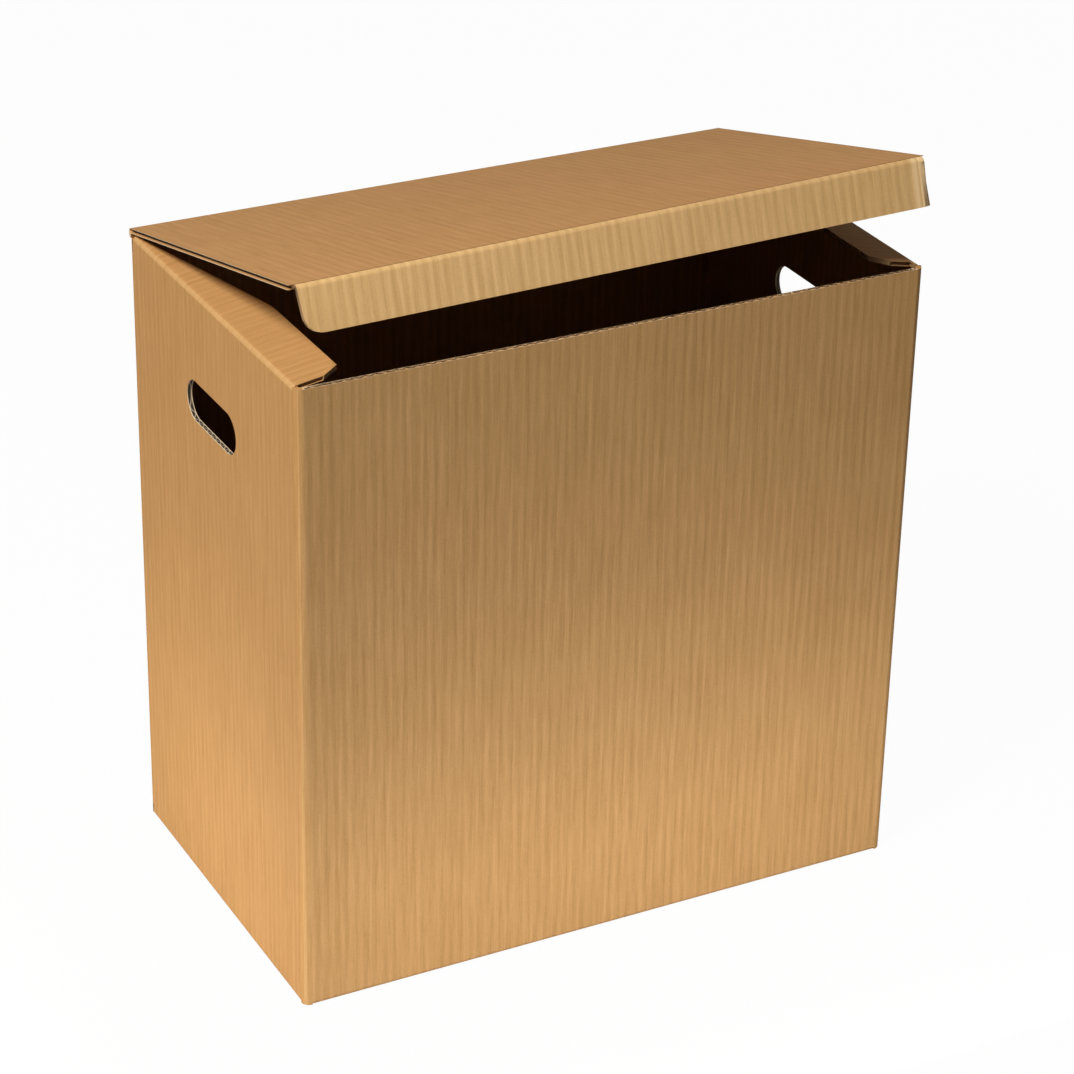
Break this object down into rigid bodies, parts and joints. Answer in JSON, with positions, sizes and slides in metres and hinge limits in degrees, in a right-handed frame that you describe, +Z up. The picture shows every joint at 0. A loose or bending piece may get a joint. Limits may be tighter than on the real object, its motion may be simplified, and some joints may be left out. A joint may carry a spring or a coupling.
{
  "type": "shipping carton",
  "caption": "Hinged-lid carton folded from corrugated board, with dust flaps, a front flap and a hand hole in each end wall, lid part open.",
  "frame": {"origin": "centre of the sleeve's footprint, on the surface that the carton stands on", "axes": "+X to the right along the front wall, +Y from the front wall to the back wall, +Z up"},
  "size_m": [0.5, 0.3101, 0.5836],
  "materials": {
    "kraft_board": "matt"
  },
  "bodies": {
    "carton": {"carton_body": "kraft_board"},
    "lid": {"lid_panel": "kraft_board"},
    "flap": {"front_flap": "kraft_board"}
  },
  "joints": [
    {"name": "lid_fold", "type": "hinge", "parent": "carton", "child": "lid", "pos_m": [0, 0.1477, 0.5017], "axis": [-1, 0, 0], "range_deg": [-11, 165]},
    {"name": "front_flap_fold", "type": "hinge", "parent": "lid", "child": "flap", "pos_m": [0, -0.14326, 0.57478], "axis": [-0.9998, -0.0051, -0.0203], "range_deg": [-1, 110]}
  ]
}
